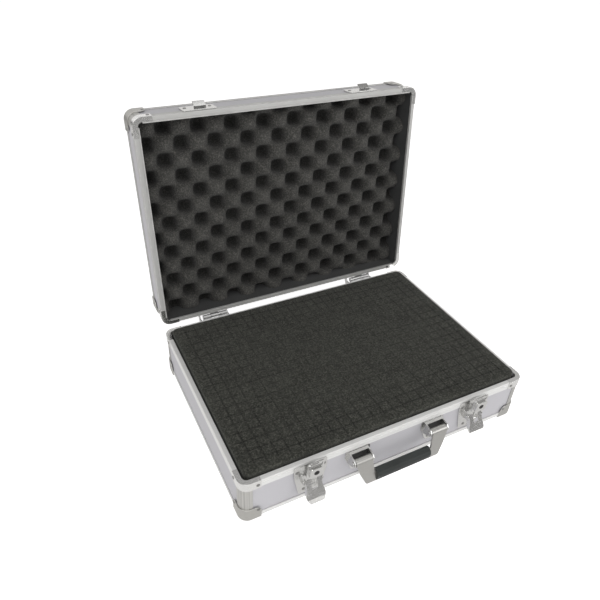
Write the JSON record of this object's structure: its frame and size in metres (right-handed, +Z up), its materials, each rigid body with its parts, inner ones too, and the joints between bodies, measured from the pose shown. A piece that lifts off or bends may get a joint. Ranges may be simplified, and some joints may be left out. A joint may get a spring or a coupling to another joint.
{
  "type": "aluminum tool case",
  "caption": "Open hard tool case with an aluminium-edged base and hinged lid, pluck foam below, egg-crate foam above, draw latches, key barrels and a swing handle.",
  "frame": {"origin": "the middle of the base's footprint, on the surface that the case lies on", "axes": "+X along the front to the right, -Y towards the user at the latches, +Z up"},
  "size_m": [0.4294, 0.412, 0.3879],
  "materials": {
    "board": "pale satin aluminium sheet on board",
    "extrusion": "satin anodised, fine drawn lines",
    "ball_corner": "satin nickel plate",
    "bright_bracket": "bright plate",
    "rivet": "satin set heads",
    "lining": "dark smooth lining",
    "foam": "open-cell foam",
    "grip": "fine moulded grain",
    "buffer": "matt",
    "bail_steel": "satin plate, worn edges",
    "plated_bracket": "bright plate",
    "hinge_steel": "satin plate",
    "key_barrel": "turned face",
    "latch_chrome": "bright plate"
  },
  "bodies": {
    "base": {"base_back_panel": "board", "base_cap_rivets": "rivet", "base_corner_caps": "ball_corner", "base_corner_posts": "extrusion", "base_edge_frame": "extrusion", "base_floor_panel": "board", "base_foam": "foam", "base_foam_pad": "foam", "base_front_panel": "board", "base_left_panel": "board", "base_lining": "lining", "base_right_panel": "board", "base_rim_brackets": "bright_bracket", "base_rim_frame": "extrusion", "base_rim_rivets": "rivet", "handle_buffers": "buffer", "handle_hasp_left": "plated_bracket", "handle_hasp_right": "plated_bracket", "handle_pins": "plated_bracket", "hasp_rivets": "rivet", "hinge_base_leaf_left": "hinge_steel", "hinge_base_leaf_right": "hinge_steel", "hinge_base_rivets": "rivet", "hinge_pins": "hinge_steel", "latch_pivots_left": "latch_chrome", "latch_pivots_right": "latch_chrome", "latch_plate_left": "latch_chrome", "latch_plate_right": "latch_chrome", "latch_rivets": "rivet"},
    "lid": {"hinge_lid_leaf_left": "hinge_steel", "hinge_lid_leaf_right": "hinge_steel", "hinge_lid_rivets": "rivet", "lid_back_panel": "board", "lid_cap_rivets": "rivet", "lid_corner_caps": "ball_corner", "lid_corner_posts": "extrusion", "lid_edge_frame": "extrusion", "lid_foam": "foam", "lid_front_panel": "board", "lid_left_panel": "board", "lid_lining": "lining", "lid_right_panel": "board", "lid_rim_brackets": "bright_bracket", "lid_rim_frame": "extrusion", "lid_rim_rivets": "rivet", "lid_top_panel": "board", "strike_left": "latch_chrome", "strike_right": "latch_chrome", "strike_rivets": "rivet"},
    "handle": {"handle_bail": "bail_steel", "handle_grip": "grip"},
    "lever_left": {"latch_lever_left": "latch_chrome", "claw_pin_left": "latch_chrome"},
    "claw_left": {"latch_claw_left": "latch_chrome"},
    "lock_left": {"lock_barrel_left": "key_barrel"},
    "lever_right": {"latch_lever_right": "latch_chrome", "claw_pin_right": "latch_chrome"},
    "claw_right": {"latch_claw_right": "latch_chrome"},
    "lock_right": {"lock_barrel_right": "key_barrel"}
  },
  "joints": [
    {"name": "lid_hinge", "type": "hinge", "parent": "base", "child": "lid", "pos_m": [0, 0.1564, 0.0718], "axis": [1, 0, 0], "range_deg": [0, 95]},
    {"name": "handle_swing", "type": "hinge", "parent": "base", "child": "handle", "pos_m": [0, -0.1645, 0.049], "axis": [-1, 0, 0], "range_deg": [0, 95]},
    {"name": "lever_left", "type": "hinge", "parent": "base", "child": "lever_left", "pos_m": [-0.124, -0.159, 0.0435], "axis": [-1, 0, 0], "range_deg": [-25, 70]},
    {"name": "claw_left", "type": "hinge", "parent": "lever_left", "child": "claw_left", "pos_m": [-0.124, -0.16055, 0.0377], "axis": [1, 0, 0], "range_deg": [-34.2, 95.6]},
    {"name": "lock_left", "type": "hinge", "parent": "claw_left", "child": "lock_left", "pos_m": [-0.124, -0.1627, 0.06562], "axis": [0, -0.997, -0.0769], "range_deg": [0, 90]},
    {"name": "lever_right", "type": "hinge", "parent": "base", "child": "lever_right", "pos_m": [0.124, -0.159, 0.0435], "axis": [-1, 0, 0], "range_deg": [-25, 70]},
    {"name": "claw_right", "type": "hinge", "parent": "lever_right", "child": "claw_right", "pos_m": [0.124, -0.16055, 0.0377], "axis": [1, 0, 0], "range_deg": [-34.2, 95.6]},
    {"name": "lock_right", "type": "hinge", "parent": "claw_right", "child": "lock_right", "pos_m": [0.124, -0.1627, 0.06562], "axis": [0, -0.997, -0.0769], "range_deg": [0, 90]}
  ],
  "couplings": [
    {"joint": "claw_left", "follows": "lever_left", "ratio": 1.3641},
    {"joint": "claw_right", "follows": "lever_right", "ratio": 1.3641}
  ]
}
